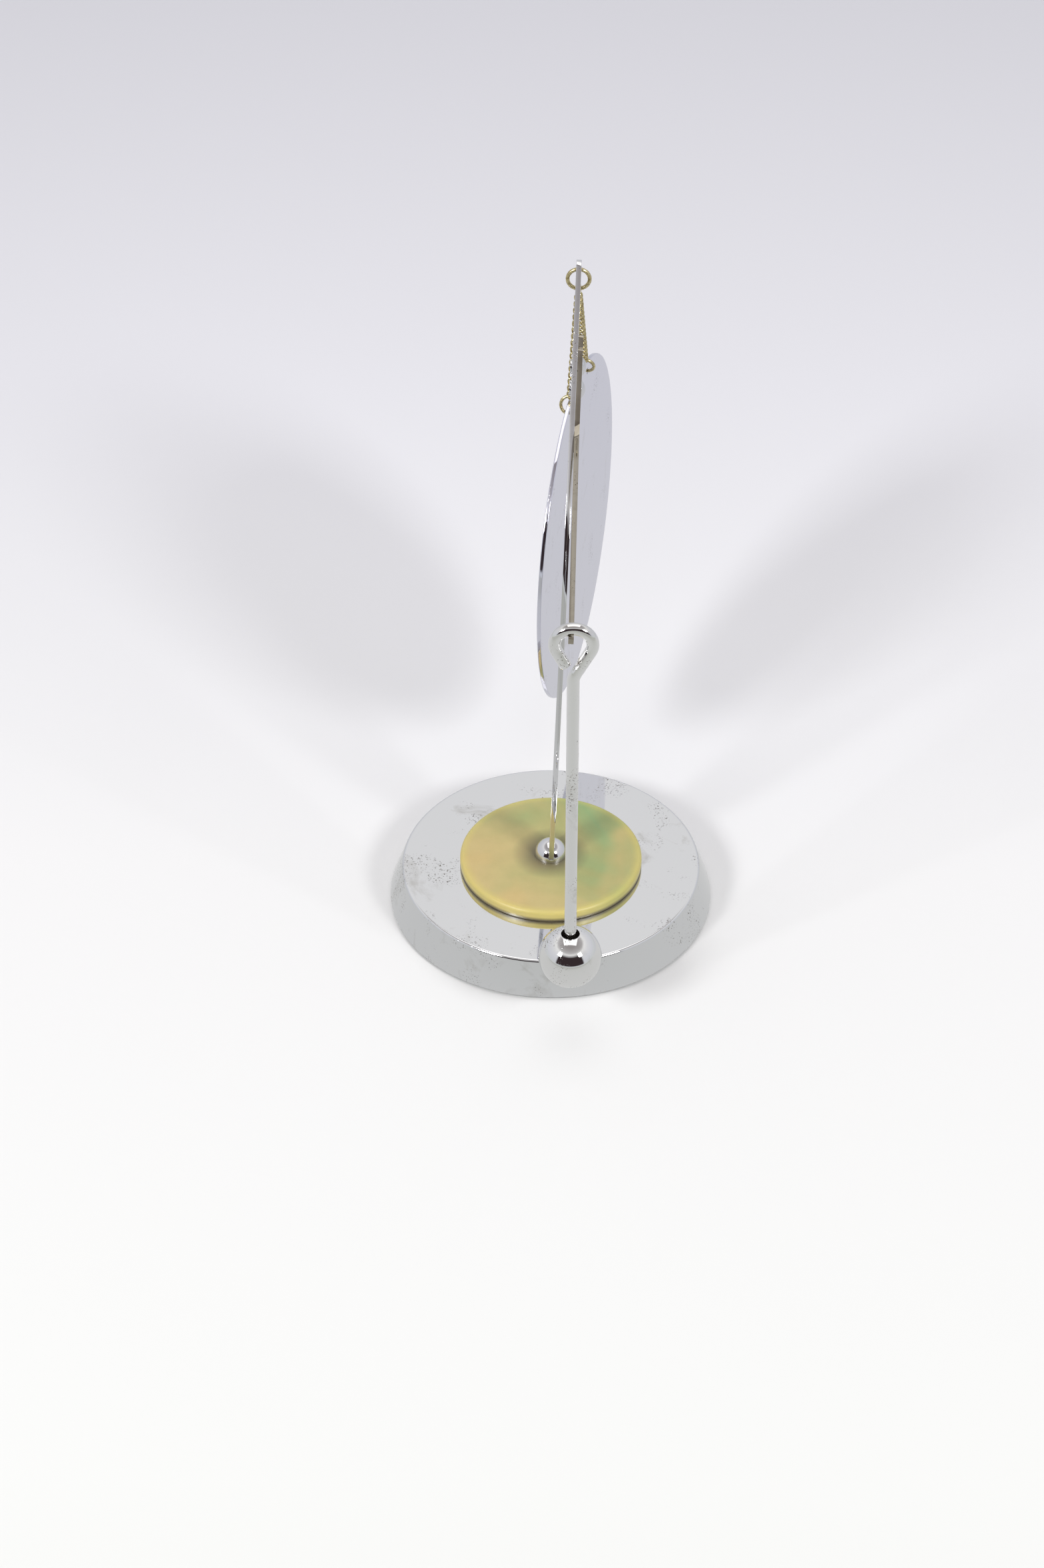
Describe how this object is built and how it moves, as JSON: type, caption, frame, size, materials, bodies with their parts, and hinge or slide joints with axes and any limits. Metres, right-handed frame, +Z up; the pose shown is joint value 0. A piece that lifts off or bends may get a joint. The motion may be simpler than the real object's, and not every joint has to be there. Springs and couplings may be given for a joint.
{
  "type": "table gong",
  "caption": "Chrome table gong: weighted round base, marbled resin disc, curved plate frame, chain-hung disc and a hooked ball beater.",
  "frame": {"origin": "centre of the felt underside that the gong stands on", "axes": "+Z up; X along the frame plate, +X towards the beater and -X towards the hung disc; +Y is the side of the plate that carries the arm"},
  "size_m": [0.2012, 0.1016, 0.1864],
  "materials": {
    "chrome": "polished chrome plate, slightly tarnished",
    "brass": "polished brass, aged",
    "resin": "cast phenolic resin, marbled yellow and green, polished",
    "iron": "raw casting",
    "steel": "bright zinc",
    "board": "pressed board",
    "felt": "wool felt"
  },
  "bodies": {
    "stand": {"base_shell": "chrome", "base_weight": "iron", "base_cover": "board", "felt_pad": "felt", "resin_disc": "resin", "boss": "chrome", "base_stud": "steel", "base_washer": "steel", "base_nut": "steel", "frame_plate": "chrome", "beater_arm": "chrome", "arm_rivet_lower": "chrome", "arm_rivet_upper": "chrome"},
    "hanger": {"hanger_ring": "brass"},
    "chain": {"link_ring": "brass", "jump_ring_near": "brass", "jump_ring_far": "brass", "chain_link_near_01": "brass", "chain_link_near_02": "brass", "chain_link_near_03": "brass", "chain_link_near_04": "brass", "chain_link_near_05": "brass", "chain_link_near_06": "brass", "chain_link_near_07": "brass", "chain_link_near_08": "brass", "chain_link_near_09": "brass", "chain_link_near_10": "brass", "chain_link_near_11": "brass", "chain_link_near_12": "brass", "chain_link_near_13": "brass", "chain_link_near_14": "brass", "chain_link_near_15": "brass", "chain_link_near_16": "brass", "chain_link_far_01": "brass", "chain_link_far_02": "brass", "chain_link_far_03": "brass", "chain_link_far_04": "brass", "chain_link_far_05": "brass", "chain_link_far_06": "brass", "chain_link_far_07": "brass", "chain_link_far_08": "brass", "chain_link_far_09": "brass", "chain_link_far_10": "brass", "chain_link_far_11": "brass", "chain_link_far_12": "brass", "chain_link_far_13": "brass", "chain_link_far_14": "brass", "chain_link_far_15": "brass", "chain_link_far_16": "brass"},
    "gong": {"gong_disc": "chrome"},
    "beater": {"beater_rod": "chrome", "beater_ball": "chrome"}
  },
  "joints": [
    {"name": "ring_swing", "type": "hinge", "parent": "stand", "child": "hanger", "pos_m": [-0.075, 0.00598, 0.18345], "axis": [1, 0, 0], "range_deg": [-12, 12]},
    {"name": "chain_turn", "type": "hinge", "parent": "hanger", "child": "chain", "pos_m": [-0.075, 0.00598, 0.1765], "axis": [0, 0, 1], "range_deg": [-19, 41]},
    {"name": "gong_tilt", "type": "hinge", "parent": "chain", "child": "gong", "pos_m": [-0.075, 0.00598, 0.13975], "axis": [0.9816, -0.1908, 0], "range_deg": [-20, 20]},
    {"name": "beater_swing", "type": "hinge", "parent": "stand", "child": "beater", "pos_m": [0.0625, 0.00631, 0.1478], "axis": [1, 0, 0], "range_deg": [-25, 25]}
  ]
}
